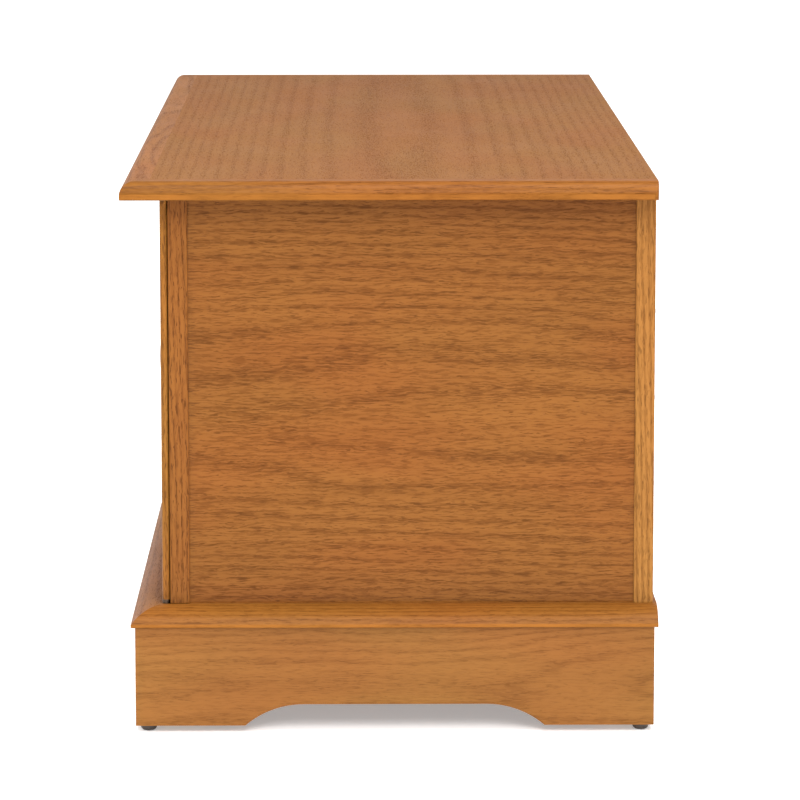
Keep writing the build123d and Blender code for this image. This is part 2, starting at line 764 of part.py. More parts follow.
# ---------------------------------------------------------------------- drawer and slides
def make_drawer():
    """The drawer's front, box, knobs and the members of its slides."""
    lip_x = centre_x + lip_overlap
    lip_z1 = drawer_top_z + lip_overlap
    front = lipped_front(-lip_x, lip_x, -centre_x, centre_x, opening_floor_z, drawer_top_z, lip_z1, False)
    knobs, screws = [], []
    for side in (-1, 1):
        knob, screw = make_knob(side * drawer_knob_spacing / 2, (lip_floor_z + lip_z1) / 2)
        knobs.append(knob)
        screws.append(screw)
        front -= screw

    outer_x = centre_x - slide_width
    inner_x = outer_x - drawer_side_thickness
    back_end = back_panel_y - drawer_back_room
    side_z = opening_floor_z + drawer_side_lift
    side_top = side_z + drawer_side_height
    groove_z = side_z + drawer_groove_height
    groove_top = groove_z + drawer_bottom_thickness
    groove_x = inner_x + drawer_groove_depth
    back_y0 = back_end - drawer_side_thickness
    bottom_y = inset_back_y - drawer_groove_depth
    bottom = board(-groove_x, groove_x, bottom_y, back_end, groove_z, groove_top)
    right = board(inner_x, outer_x, inset_back_y, back_end, side_z, side_top) - bottom
    right = eased(right, Axis.Y, frame_edge_round, lambda c: c.Z > side_top - 1)
    back = board(-inner_x, inner_x, back_y0, back_end, groove_top, side_top - drawer_back_drop)
    return {
        "front": front - bottom,
        "side_right": right,
        "side_left": mirrored(right),
        "back": back,
        "bottom": bottom,
        "knobs": group(knobs + screws),
    }


def channel(web, flange_end, half_height, y0, y1):
    """A slide member: a web near one x and two flanges that run from it."""
    wall = slide_wall if flange_end > web else -slide_wall
    web_x = sorted((web, web + wall))
    flange_x = sorted((web, flange_end))
    member = board(*web_x, y0, y1, -half_height, half_height)
    for low in (-half_height, half_height - slide_wall):
        member += board(*flange_x, y0, y1, low, low + slide_wall)
    return member


def make_slides():
    """The right-hand slide's cabinet, middle and drawer members."""
    y0 = inset_back_y + slide_set_back
    y1 = back_panel_y - drawer_back_room - slide_end_room
    z = opening_floor_z + drawer_side_lift + drawer_side_height / 2
    nest = slide_wall + slide_clearance
    outer_half = slide_height / 2
    middle_start = centre_x - slide_middle_start
    inner_web = centre_x - slide_width
    outer = channel(centre_x, centre_x - slide_outer_depth, outer_half, y0, y1)
    middle = channel(middle_start, middle_start - slide_middle_depth, outer_half - nest, y0, y1)
    inner = channel(inner_web, inner_web + slide_inner_depth, outer_half - 2 * nest, y0, y1)
    return [Pos(0, 0, z) * member for member in (outer, middle, inner)]


# ----------------------------------------------------------------------------- fixings
def make_case_screws():
    """Screws up through the deck into the case, and screws that hold the back."""
    screws = []
    upward = countersunk_screw(wood_screw_radius, wood_screw_head, wood_screw_length)
    middle_end_x = (end_panel_x + end_wall_x) / 2
    middle_divider_x = (centre_x + bay_wall_x) / 2
    for x in (-middle_end_x, -middle_divider_x, middle_divider_x, middle_end_x):
        for share in (0.15, 0.5, 0.85):
            y = frame_back_y + share * (back_panel_y - frame_back_y)
            screws.append(Pos(x, y, deck_z) * upward)
    reach = back_thickness + back_screw_bite
    rearward = pan_screw(back_screw_radius, back_screw_head, back_screw_head_height, reach)
    stile_x = end_opening_x + back_rebate / 2
    spacing = (case_height - 2 * back_screw_margin) / (back_screws_per_line - 1)
    for x in (-stile_x, -middle_divider_x, middle_divider_x, stile_x):
        for step in range(back_screws_per_line):
            z = floor_z + back_screw_margin + step * spacing
            screws.append(Pos(x, back_y, z) * Rot(90, 0, 0) * rearward)
    return screws


# ------------------------------------------------------------------------- the cabinet
def make_cabinet():
    """Every node's name and shape."""
    nodes = {}

    def pair(name, right):
        nodes[name + "_right"] = right
        nodes[name + "_left"] = mirrored(right)

    plates, plate_screws = make_pivot_plates()
    all_plates = plates + [mirrored(plate) for plate in plates]
    all_plate_screws = plate_screws + [mirrored(screw) for screw in plate_screws]
    case_screws = make_case_screws() + all_plate_screws
    glides = make_glides()

    def fitted(piece, *cutters):
        """A piece with room cut for those fittings that reach into it."""
        box = piece.bounding_box()
        for cutter in [shape for listed in cutters for shape in listed]:
            if box.overlaps(cutter.bounding_box()):
                piece = piece - cutter
        return piece

    nodes["top_panel"], nodes["top_edging_front"], edging = make_top()
    nodes["top_panel"] = fitted(nodes["top_panel"], all_plates, all_plate_screws)
    pair("top_edging", edging)

    nodes["deck_panel"], nodes["deck_moulding_front"], moulding = make_deck()
    for name in ("deck_panel", "deck_moulding_front"):
        nodes[name] = fitted(nodes[name], all_plates, case_screws)
    pair("deck_moulding", fitted(moulding, all_plates, case_screws))

    front, end, back = make_plinth()
    nodes["plinth_front"] = fitted(front, glides)
    nodes["plinth_back"] = fitted(back, glides)
    pair("plinth", fitted(end, glides))
    nodes["glue_blocks"] = group(make_glue_blocks())
    nodes["floor_glides"] = group(glides)

    outer, inner, top, bottom, middle = make_front_frame()
    pair("front_stile", outer)
    pair("inner_stile", inner)
    nodes["front_rail_top"] = top
    nodes["front_rail_bottom"] = bottom
    nodes["front_rail_middle"] = middle

    panel, stile = make_end()
    for hole in pin_holes(end_wall_x, 1):
        panel -= hole
    pair("end_panel", fitted(panel, case_screws))
    pair("rear_stile", fitted(stile, case_screws))
    divider = make_divider()
    for hole in pin_holes(bay_wall_x, -1):
        divider -= hole
    pair("divider", fitted(divider, case_screws))
    nodes["centre_shelf"] = make_centre_shelf()
    shelf, pins = make_shelf()
    pair("side_shelf", shelf)
    nodes["shelf_pins"] = group(pins + [mirrored(pin) for pin in pins])
    nodes["back_panel"] = fitted(make_back(), case_screws)
    nodes["case_screws"] = group(case_screws)
    catch = make_catch()
    nodes["magnetic_catches"] = group(catch + [mirrored(piece) for piece in catch])
    nodes["pivot_plates"] = group(all_plates)

    for name, piece in make_door().items():
        nodes["door_right_" + name] = piece
        nodes["door_left_" + name] = mirrored(piece)

    for name, piece in make_drawer().items():
        nodes["drawer_" + name] = piece
    for name, member in zip(("outer", "middle", "inner"), make_slides()):
        nodes["slide_" + name + "_members"] = group([member, mirrored(member)])
    return nodes


os.makedirs("parts", exist_ok=True)
for node_name, node_shape in make_cabinet().items():
    export_step(node_shape, "parts/" + node_name + ".step")
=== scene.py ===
"""The looks of an oak media cabinet: moulded top and deck, framed ends, raised-panel doors,
a drawer under an open niche, and an arched plinth on glides."""
import json
from math import cos, pi, radians, sin, sqrt
import bmesh
import bpy
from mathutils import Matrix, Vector


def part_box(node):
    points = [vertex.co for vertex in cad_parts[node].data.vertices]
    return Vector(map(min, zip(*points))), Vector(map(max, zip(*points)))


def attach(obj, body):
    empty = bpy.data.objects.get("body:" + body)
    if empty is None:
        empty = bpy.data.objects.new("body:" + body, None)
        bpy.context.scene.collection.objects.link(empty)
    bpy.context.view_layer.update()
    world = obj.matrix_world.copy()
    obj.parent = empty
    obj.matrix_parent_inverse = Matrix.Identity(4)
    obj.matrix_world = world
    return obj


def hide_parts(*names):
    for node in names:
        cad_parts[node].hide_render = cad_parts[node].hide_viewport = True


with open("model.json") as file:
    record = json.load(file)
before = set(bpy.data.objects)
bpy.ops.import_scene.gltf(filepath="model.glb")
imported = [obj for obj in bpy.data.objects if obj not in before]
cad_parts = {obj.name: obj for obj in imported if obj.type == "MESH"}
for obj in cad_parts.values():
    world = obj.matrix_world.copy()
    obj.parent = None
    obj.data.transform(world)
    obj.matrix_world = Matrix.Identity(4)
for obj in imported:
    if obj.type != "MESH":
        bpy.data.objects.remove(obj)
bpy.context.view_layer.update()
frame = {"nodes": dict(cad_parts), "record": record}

bl_info = {
    "name": "Oak Media Cabinet",
    "version": (1, 0, 0),
    "blender": (4, 5, 0),
    "location": "View3D > Sidebar > Cabinet",
    "description": "Builds the finished pieces of an oak media cabinet round its frame",
    "category": "Object",
}

MM = 0.001
PREFIX = "finished_"           # the names of finished pieces and shared materials start with it

WELD = 2e-6                    # corners nearer than this are one corner
LEVEL = radians(0.5)           # faces that turn less than this are one flat face
SHARP = radians(28)            # edges that turn more than this are rounded off
CREASE = radians(50)           # edges that turn more than this are shaded as sharp
EDGE_STEPS = 2                 # flats across a rounded edge
NOSE_STEPS = 4                 # flats round the lower edge of a moulding's nose
ON_AXIS = 1e-7                 # a turned profile's point nearer than this is on the axis

VENEER_ROUND = 0.12 * MM       # rounding of the veneered boards inside their edging
TOP_EDGING_WIDTH = 0.028       # level widths of the two mouldings, as in the frame
DECK_MOULDING_WIDTH = 0.045
DECK_CURVE_REACH = 0.0295      # level part of the deck moulding's curve


# ---- settings
class CabinetSizes(bpy.types.PropertyGroup):
    """Sizes that the frame leaves to the finish."""

    board_round: bpy.props.FloatProperty(
        name="Board edges", description="Rounding of a sanded board edge",
        default=0.0009, unit="LENGTH",
    )
    joint_round: bpy.props.FloatProperty(
        name="Joint edges", description="Rounding where two pieces are glued flush",
        default=0.00035, unit="LENGTH",
    )
    metal_round: bpy.props.FloatProperty(
        name="Metal edges", description="Rounding of pressed metal edges",
        default=0.0002, unit="LENGTH",
    )
    top_curve_width: bpy.props.FloatProperty(
        name="Top curve", description="Level part of the top to its nose",
        default=0.0135, unit="LENGTH",
    )
    top_nose_height: bpy.props.FloatProperty(
        name="Top nose", description="Upright part of the top's nose", default=0.0045, unit="LENGTH"
    )
    top_nose_round: bpy.props.FloatProperty(
        name="Top nose rounding", description="Lower rounding of the top's nose",
        default=0.0012, unit="LENGTH",
    )
    deck_curve_radius: bpy.props.FloatProperty(
        name="Deck curve", description="Radius of the deck moulding's curve",
        default=0.037, unit="LENGTH",
    )
    deck_nose_round: bpy.props.FloatProperty(
        name="Deck nose rounding", description="Roundings of the deck's nose",
        default=0.0010, unit="LENGTH",
    )
    back_corner: bpy.props.FloatProperty(
        name="Top's back corner", description="Rounding of the top's back corners in plan",
        default=0.0045, unit="LENGTH",
    )
    curve_steps: bpy.props.IntProperty(
        name="Curve steps", description="Flats round a quarter of a moulding", default=20, min=4
    )
    turning_steps: bpy.props.IntProperty(
        name="Turning steps", description="Flats round a knob or a glide", default=64, min=12
    )
    screw_head: bpy.props.FloatProperty(
        name="Back screw head", description="Radius of a back screw's head",
        default=0.0038, unit="LENGTH",
    )
    screw_head_height: bpy.props.FloatProperty(
        name="Back screw height", description="Height of a back screw's head",
        default=0.0018, unit="LENGTH",
    )


class CabinetColours(bpy.types.PropertyGroup):
    """Colours of the woods, the metals and the stage."""

    oak_light: bpy.props.FloatVectorProperty(
        name="Oak, light", description="Late wood between the pores",
        subtype="COLOR", default=(0.212, 0.075, 0.0135),
    )
    oak_dark: bpy.props.FloatVectorProperty(
        name="Oak, dark", description="Early wood of a growth ring",
        subtype="COLOR", default=(0.132, 0.042, 0.0065),
    )
    oak_pore: bpy.props.FloatVectorProperty(
        name="Oak pores", description="Stain held in the open pores",
        subtype="COLOR", default=(0.066, 0.019, 0.0026),
    )
    inside_light: bpy.props.FloatVectorProperty(
        name="Inside, light", description="Light wood of the drawer box",
        subtype="COLOR", default=(0.42, 0.26, 0.12),
    )
    pine_light: bpy.props.FloatVectorProperty(
        name="Pine", description="Bare softwood of the blocks",
        subtype="COLOR", default=(0.46, 0.30, 0.14),
    )
    zinc: bpy.props.FloatVectorProperty(
        name="Zinc", description="Zinc-plated steel",
        subtype="COLOR", default=(0.46, 0.46, 0.47),
    )
    bronzed: bpy.props.FloatVectorProperty(
        name="Bronzed steel", description="Dark bronzed steel",
        subtype="COLOR", default=(0.10, 0.07, 0.05),
    )
    brown_plastic: bpy.props.FloatVectorProperty(
        name="Brown plastic", description="Catches and glides",
        subtype="COLOR", default=(0.035, 0.022, 0.015),
    )
    floor: bpy.props.FloatVectorProperty(
        name="Floor", description="Plain pale floor",
        subtype="COLOR", default=(0.94, 0.94, 0.94),
    )


def sizes():
    return bpy.context.scene.cabinet_sizes


def colours():
    return bpy.context.scene.cabinet_colours


# ---- what the frame says
bodies = frame["record"]["behaviour"]["bodies"]
body_of = {node: body for body, nodes in bodies.items() for node in nodes}
slot_of = {part["node"]: part["material_slot"] for part in frame["record"]["subparts"]}

# The wooden nodes, by the direction that their grain runs in.
GRAIN = {
    "X": [
        "top_panel", "top_edging_front", "deck_panel", "deck_moulding_front", "plinth_front",
        "plinth_back", "front_rail_top", "front_rail_bottom", "front_rail_middle", "centre_shelf",
        "side_shelf_left", "side_shelf_right", "back_panel", "door_left_top_rail",
        "door_left_bottom_rail", "door_right_top_rail", "door_right_bottom_rail", "drawer_front",
        "drawer_back", "drawer_bottom",
    ],
    "Y": [
        "top_edging_left", "top_edging_right", "deck_moulding_left", "deck_moulding_right",
        "plinth_left", "plinth_right", "end_panel_left", "end_panel_right", "divider_left",
        "divider_right", "drawer_side_left", "drawer_side_right", "glue_blocks",
        "door_left_knob", "door_right_knob", "drawer_knobs",
    ],
    "Z": [
        "front_stile_left", "front_stile_right", "inner_stile_left", "inner_stile_right",
        "rear_stile_left", "rear_stile_right", "door_left_hinge_stile", "door_left_free_stile",
        "door_right_hinge_stile", "door_right_free_stile", "door_left_panel", "door_right_panel",
    ],
}
grain_of = {node: axis for axis, nodes in GRAIN.items() for node in nodes}


# ---- material kit
class Recipe:
    """A material's node tree, written as a list of steps."""

    def __init__(self, name):
        self.material = bpy.data.materials.new(name)
        self.material.use_nodes = True
        self.tree = self.material.node_tree
        self.surface = self.tree.nodes["Principled BSDF"]

    def put(self, socket, value):
        if isinstance(value, bpy.types.NodeSocket):
            self.tree.links.new(value, socket)
        else:
            socket.default_value = value

    def node(self, kind, settings=None, **inputs):
        made = self.tree.nodes.new(kind)
        for name, value in (settings or {}).items():
            setattr(made, name, value)
        for name, value in inputs.items():
            self.put(made.inputs[name.replace("_", " ")], value)
        return made

    def math(self, operation, first, second=0.0, third=0.0, clamp=False):
        made = self.tree.nodes.new("ShaderNodeMath")
        made.operation = operation
        made.use_clamp = clamp
        for socket, value in zip(made.inputs, (first, second, third)):
            self.put(socket, value)
        return made.outputs[0]

    def vector(self, operation, first, second):
        made = self.tree.nodes.new("ShaderNodeVectorMath")
        made.operation = operation
        self.put(made.inputs[0], first)
        self.put(made.inputs[1], second)
        return made.outputs[0]

    def noise(self, place, scale, detail=2.0, roughness=0.5):
        """Noise with a scale of its own in each direction."""
        place = self.vector("MULTIPLY", place, scale)
        made = self.node(
            "ShaderNodeTexNoise", Vector=place, Scale=1.0, Detail=detail, Roughness=roughness
        )
        return made.outputs["Fac"]

    def ramp(self, value, low, high, out_low=0.0, out_high=1.0):
        """A smooth step from one value to another as the given value goes from low to high."""
        made = self.node(
            "ShaderNodeMapRange", {"interpolation_type": "SMOOTHSTEP"},
            Value=value, From_Min=low, From_Max=high, To_Min=out_low, To_Max=out_high,
        )
        return made.outputs["Result"]

    def mix(self, factor, first, second, blend="MIX"):
        made = self.tree.nodes.new("ShaderNodeMix")
        made.data_type = "RGBA"
        made.blend_type = blend
        self.put(made.inputs["Factor"], factor)
        self.put(made.inputs["A"], first)
        self.put(made.inputs["B"], second)
        return made.outputs["Result"]

    def colour(self, red, green, blue):
        made = self.node("ShaderNodeCombineColor", Red=red, Green=green, Blue=blue)
        return made.outputs["Color"]

    def bump(self, height, strength, distance):
        made = self.node("ShaderNodeBump", Height=height, Strength=strength, Distance=distance)
        self.put(self.surface.inputs["Normal"], made.outputs["Normal"])

    def finish(self, **inputs):
        for name, value in inputs.items():
            self.put(self.surface.inputs[name.replace("_", " ")], value)
        return self.material


def solid(colour):
    return (*colour, 1.0)


def grain_place(recipe, axis, seed):
    """Object coordinates turned so that X runs along the grain: shifted for each board, and own."""
    place = recipe.node("ShaderNodeTexCoord").outputs["Object"]
    apart = recipe.node("ShaderNodeSeparateXYZ", Vector=place)
    order = {"X": "XYZ", "Y": "YZX", "Z": "ZXY"}[axis]
    along = recipe.node("ShaderNodeCombineXYZ")
    for socket, source in zip(along.inputs, order):
        recipe.put(socket, apart.outputs[source])
    shift = (1.37 * seed, 0.61 * seed + 0.05, 0.83 * seed)
    return recipe.vector("ADD", along.outputs[0], shift), along.outputs[0]


def growth_rings(recipe, place, own_place, centre, pith, pitch, sway):
    """Growth rings round a pith below the board: 0 to 1 across each ring."""
    apart = recipe.node("ShaderNodeSeparateXYZ", Vector=own_place)
    across = recipe.math("SUBTRACT", apart.outputs["Y"], centre[0])
    depth = recipe.math("SUBTRACT", apart.outputs["Z"], centre[1])
    wander = recipe.noise(place, (2.5, 16.0, 16.0), 3.0, 0.55)
    drift = recipe.noise(place, (1.1, 2.5, 2.5), 1.0)
    wander = recipe.math("MULTIPLY_ADD", wander, 0.35 * sway, recipe.math("MULTIPLY", drift, sway))
    depth = recipe.math("ADD", recipe.math("ADD", depth, pith), wander)
    across = recipe.math("ADD", across, recipe.math("MULTIPLY", wander, 0.7))
    squares = recipe.math("ADD", recipe.math("POWER", across, 2.0), recipe.math("POWER", depth, 2.0))
    distance = recipe.math("SQRT", squares)
    return recipe.math("FRACT", recipe.math("DIVIDE", distance, pitch))


def oak(
    name, axis, seed, centre, tone=(1.0, 1.0, 1.0), rings=0.35, streaks=0.8, pores=0.6,
    sway=0.05, pith=0.08, cloudy=0.06, rough=0.45, shine=0.06, coat=0.05,
):
    """Stained open-grained oak under a satin lacquer, with its figure along one axis.

    centre is the board's middle across its grain, pith the depth of the rings' middle under it
    and sway how far the rings wander. rings, streaks, pores and cloudy are strengths.
    """
    recipe = Recipe(name)
    shade = colours()
    place, own_place = grain_place(recipe, axis, seed)
    pith += 0.011 * (seed % 5)
    pitch = 0.0040 + 0.0008 * (seed % 4)
    ring = growth_rings(recipe, place, own_place, centre, pith, pitch, sway)
    early = recipe.ramp(ring, 0.0, 0.45, 1.0, 0.0)
    late = recipe.ramp(ring, 0.75, 1.0, 0.0, 1.0)
    early_wood = recipe.math("MAXIMUM", early, late)

    bend = recipe.noise(place, (38.0, 75.0, 75.0), 2.0)
    bend = recipe.math("MULTIPLY", bend, 0.0045)
    bent = recipe.vector("ADD", place, recipe.node("ShaderNodeCombineXYZ", Y=bend, Z=bend).outputs[0])
    fleck = recipe.noise(bent, (58.0, 500.0, 500.0), 2.0, 0.55)
    band = recipe.noise(place, (7.0, 130.0, 130.0), 3.0, 0.6)
    fleck = recipe.ramp(recipe.math("MULTIPLY_ADD", early_wood, 0.06, fleck), 0.46, 0.66)
    figure = recipe.math("MULTIPLY", early_wood, rings)
    figure = recipe.math("MULTIPLY_ADD", fleck, 0.55 * streaks, figure)
    band = recipe.ramp(band, 0.35, 0.7)
    figure = recipe.math("MULTIPLY_ADD", band, 0.25 * streaks, figure, clamp=True)
    colour = recipe.mix(figure, solid(shade.oak_light), solid(shade.oak_dark))

    dashes = recipe.noise(bent, (85.0, 1000.0, 1000.0), 2.0, 0.55)
    pore = recipe.ramp(recipe.math("MULTIPLY_ADD", early_wood, 0.07, dashes), 0.57, 0.68)
    colour = recipe.mix(recipe.math("MULTIPLY", pore, pores), colour, solid(shade.oak_pore))

    cloud = recipe.noise(place, (3.2, 9.0, 9.0), 2.0)
    cloud = recipe.ramp(cloud, 0.25, 0.75, 1.0 - cloudy, 1.0 + cloudy)
    warmth = recipe.noise(place, (5.0, 14.0, 14.0), 1.0)
    warmth = recipe.math("MULTIPLY", cloud, recipe.ramp(warmth, 0.3, 0.7, 0.95, 1.05))
    colour = recipe.mix(1.0, colour, recipe.colour(cloud, warmth, warmth), "MULTIPLY")

    # Lighter colour on rounded edges and moulding noses: in part lacquer worn through, in part a
    # painted highlight where the edges catch light.
    rubbed = recipe.node("ShaderNodeAttribute", {"attribute_name": "rubbed"}).outputs["Fac"]
    patches = recipe.noise(place, (22.0, 22.0, 22.0), 2.0)
    rubbed = recipe.math("MULTIPLY", rubbed, recipe.ramp(patches, 0.3, 0.75, 0.2, 0.7))
    colour = recipe.mix(rubbed, colour, solid([1.45 * part for part in shade.oak_light]))
    colour = recipe.mix(1.0, colour, solid(tone), "MULTIPLY")

    smears = recipe.noise(place, (7.0, 16.0, 16.0), 3.0)
    roughness = recipe.math("MULTIPLY_ADD", smears, 0.16, rough - 0.08)
    roughness = recipe.math("MULTIPLY_ADD", pore, 0.14, roughness)
    height = recipe.math("MULTIPLY_ADD", pore, -0.6, recipe.math("MULTIPLY", fleck, -0.4))
    recipe.bump(height, 0.35, 0.00025)
    return recipe.finish(
        Base_Color=colour, Roughness=roughness, Specular_IOR_Level=shine,
        Coat_Weight=coat, Coat_Roughness=0.22,
    )


def plain_wood(name, axis, seed, light, rough=0.6):
    """A close-grained pale wood for hidden boxes and blocks."""
    recipe = Recipe(name)
    place, _ = grain_place(recipe, axis, seed)
    streak = recipe.noise(place, (4.0, 120.0, 120.0), 4.0, 0.6)
    fibre = recipe.noise(place, (60.0, 1200.0, 1200.0), 2.0)
    dark = [0.72 * part for part in light]
    colour = recipe.mix(recipe.ramp(streak, 0.35, 0.75), solid(light), solid(dark))
    fine = recipe.ramp(fibre, 0.3, 0.7, 0.92, 1.05)
    colour = recipe.mix(1.0, colour, recipe.colour(fine, fine, fine), "MULTIPLY")
    roughness = recipe.math("MULTIPLY_ADD", streak, 0.15, rough - 0.08)
    recipe.bump(fibre, 0.25, 0.0002)
    return recipe.finish(Base_Color=colour, Roughness=roughness)


def metal(name, colour, roughness):
    """Plated steel with faint rolling marks and mottling."""
    recipe = Recipe(name)
    uneven = 0.10                  # difference in roughness from patch to patch
    place = recipe.node("ShaderNodeTexCoord").outputs["Object"]
    mottle = recipe.noise(place, (140.0, 140.0, 140.0), 3.0)
    marks = recipe.noise(place, (900.0, 60.0, 900.0), 2.0)
    tint = recipe.ramp(mottle, 0.3, 0.7)
    shade = recipe.mix(tint, solid([0.82 * part for part in colour]), solid(colour))
    roughness = recipe.math("MULTIPLY_ADD", mottle, uneven, roughness - uneven / 2)
    recipe.bump(marks, 0.12, 0.0001)
    return recipe.finish(Base_Color=shade, Roughness=roughness, Metallic=1.0)


def plastic(name, colour, roughness):
    """Moulded plastic with a fine spark-eroded grain."""
    recipe = Recipe(name)
    place = recipe.node("ShaderNodeTexCoord").outputs["Object"]
    grain = recipe.noise(place, (2500.0, 2500.0, 2500.0), 2.0)
    cloud = recipe.noise(place, (90.0, 90.0, 90.0), 2.0)
    tint = recipe.ramp(cloud, 0.3, 0.7)
    shade = recipe.mix(tint, solid([0.8 * part for part in colour]), solid(colour))
    roughness = recipe.math("MULTIPLY_ADD", grain, 0.12, roughness - 0.06)
    recipe.bump(grain, 0.2, 0.0001)
    return recipe.finish(Base_Color=shade, Roughness=roughness)


# Tone, figure and finish of each kind of oak piece, where they differ from oak()'s own.
OAK_KINDS = {
    "oak_top": {
        "tone": (0.79, 0.85, 0.98), "rings": 0.12, "streaks": 0.55, "pores": 0.30, "pith": 0.50,
        "sway": 0.003, "cloudy": 0.03, "rough": 0.55, "shine": 0.03, "coat": 0.02,
    },
    "oak_edging": {
        "tone": (0.90, 0.92, 0.85), "streaks": 0.7, "pores": 0.45, "shine": 0.02, "coat": 0.05,
    },
    "oak_deck": {},
    "oak_moulding": {
        "tone": (0.96, 0.98, 0.90), "streaks": 0.7, "pores": 0.45, "shine": 0.03, "coat": 0.04,
    },
    "oak_plinth": {
        "tone": (0.97, 1.11, 1.40), "streaks": 0.5, "pores": 0.30, "rings": 0.22, "pith": 0.12,
    },
    "oak_stile": {"tone": (0.93, 0.93, 0.93), "pores": 0.8, "pith": 0.10},
    "oak_rail": {},
    "oak_rear_stile": {"tone": (1.25, 1.55, 1.85), "rings": 0.5, "pores": 0.6, "pith": 0.10},
    "oak_end_panel": {
        "tone": (0.90, 0.91, 0.95), "rings": 0.15, "streaks": 1.1, "pith": 0.30, "sway": 0.03,
        "cloudy": 0.045,
    },
    "oak_door_panel": {"tone": (1.05, 1.12, 1.08), "rings": 0.45, "sway": 0.10},
    "oak_front": {"tone": (1.05, 1.12, 1.08), "rings": 0.40, "sway": 0.08},
    "oak_divider": {"tone": (1.05, 1.08, 1.10), "rings": 0.18, "pith": 0.30, "rough": 0.5},
    "oak_shelf": {"tone": (1.05, 1.08, 1.10), "rings": 0.18, "pith": 0.30, "rough": 0.5},
    "oak_plywood": {
        "tone": (1.30, 1.65, 3.0), "pores": 0.35, "rings": 0.5, "sway": 0.12, "rough": 0.58,
        "coat": 0.0,
    },
    "oak_knob": {"tone": (1.05, 1.05, 1.0), "pores": 0.35, "coat": 0.3},
}
DOOR_HIGHLIGHT_TONE = (1.15, 1.28, 1.20)     # the doors' frames are painted lighter and more golden than the case: a painted highlight for the light on their rounded lip edges


def middle_of(node, axis):
    """A node's middle in the two directions across its grain."""
    low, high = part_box(node)
    middle = (low + high) / 2
    return {"X": (middle.y, middle.z), "Y": (middle.z, middle.x), "Z": (middle.x, middle.y)}[axis]


def material_for(node):
    """The finished material of a node's piece, made for that piece alone where it is wood."""
    kind = slot_of[node]
    shade = colours()
    seed = sorted(grain_of).index(node) + 1 if node in grain_of else 0
    if kind in OAK_KINDS:
        axis = grain_of[node]
        figure = dict(OAK_KINDS[kind])
        # The doors' frames take the lighter tone, a painted highlight.
        if node.startswith("door_") and "panel" not in node and "knob" not in node:
            figure["tone"] = DOOR_HIGHLIGHT_TONE
        return oak(kind + "_" + node, axis, seed, middle_of(node, axis), **figure)
    if kind == "drawer_wood":
        return plain_wood("drawer_wood_" + node, grain_of[node], seed, shade.inside_light)
    if kind == "pine":
        return plain_wood("pine_" + node, grain_of[node], seed, shade.pine_light, 0.8)
    return shared_material(kind)


def shared_material(kind):
    """Metals and plastics, which all pieces of a kind share."""
    name = PREFIX + kind
    if name in bpy.data.materials:
        return bpy.data.materials[name]
    shade = colours()
    if kind == "zinc_steel":
        return metal(name, shade.zinc, 0.36)
    if kind == "bronzed_steel":
        return metal(name, shade.bronzed, 0.42)
    return plastic(name, shade.brown_plastic, 0.5)


# ---- mesh kit
def new_piece(name, built):
    """A finished piece from a bmesh: outward faces, smooth with its flats kept flat."""
    bmesh.ops.recalc_face_normals(built, faces=built.faces)
    mesh = bpy.data.meshes.new(name)
    built.to_mesh(mesh)
    built.free()
    mesh.shade_smooth()
    mesh.set_sharp_from_angle(angle=CREASE)
    piece = bpy.data.objects.new(name, mesh)
    bpy.context.scene.collection.objects.link(piece)
    weighted = piece.modifiers.new("flats", "WEIGHTED_NORMAL")
    weighted.mode = "FACE_AREA"
    weighted.weight = 100
    weighted.keep_sharp = True
    return settle(piece)


def settle(piece):
    """Turn a piece with modifiers into a plain mesh with none."""
    bpy.context.view_layer.update()
    evaluated = piece.evaluated_get(bpy.context.evaluated_depsgraph_get())
    mesh = bpy.data.meshes.new_from_object(evaluated)
    piece.modifiers.clear()
    piece.data = mesh
    mesh.name = piece.name
    return piece


def stand_for(piece, node, material=None):
    """Give a piece its material and its body, and hide the node that it stands for."""
    piece.data.materials.clear()
    piece.data.materials.append(material or material_for(node))
    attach(piece, body_of[node])
    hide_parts(node)


def round_edges(built, offset):
    """Round every sharp edge and mark the new faces' inner corners for the lighter edge colour: worn
    lacquer and a painted highlight together.
    """
    sharp = [
        edge for edge in built.edges
        if len(edge.link_faces) == 2 and edge.calc_face_angle(0.0) > SHARP
    ]
    made = bmesh.ops.bevel(
        built, geom=sharp, offset=offset, segments=EDGE_STEPS, profile=0.6, affect="EDGES",
        clamp_overlap=True,
    )
    fresh = set(made["faces"])
    layer = built.verts.layers.float.new("rubbed")
    for vert in built.verts:
        vert[layer] = 1.0 if all(face in fresh for face in vert.link_faces) else 0.0


def welded_copy(node):
    """A node's shape with its corners joined and its flat faces whole."""
    built = bmesh.new()
    built.from_mesh(frame["nodes"][node].data)
    bmesh.ops.remove_doubles(built, verts=built.verts, dist=WELD)
    bmesh.ops.dissolve_limit(built, angle_limit=LEVEL, verts=built.verts, edges=built.edges)
    return built


def dress(node, offset):
    """A node's own shape, with its edges rounded, as a finished piece."""
    built = welded_copy(node)
    round_edges(built, offset)
    stand_for(new_piece(PREFIX + node, built), node)


def arc(centre, radius, start, sweep, steps):
    """Points along an arc, from a start and through a sweep in degrees."""
    points = []
    for step in range(steps + 1):
        turn = radians(start + sweep * step / steps)
        points.append((centre[0] + radius * cos(turn), centre[1] + radius * sin(turn)))
    return points


def turned(profile, steps):
    """A piece turned about Z from (radius, height) points, first and last on the axis."""
    built = bmesh.new()
    rings = []
    for radius, height in profile:
        if radius < ON_AXIS:
            rings.append([built.verts.new((0, 0, height))])
            continue
        ring = []
        for step in range(steps):
            turn = 2 * pi * step / steps
            ring.append(built.verts.new((radius * cos(turn), radius * sin(turn), height)))
        rings.append(ring)
    for low, high in zip(rings, rings[1:]):
        for step in range(steps):
            after = (step + 1) % steps
            corners = [low[step % len(low)], low[after % len(low)]]
            corners += [high[after % len(high)], high[step % len(high)]]
            unique = list(dict.fromkeys(corners))
            if len(unique) > 2:
                built.faces.new(unique)
    return built


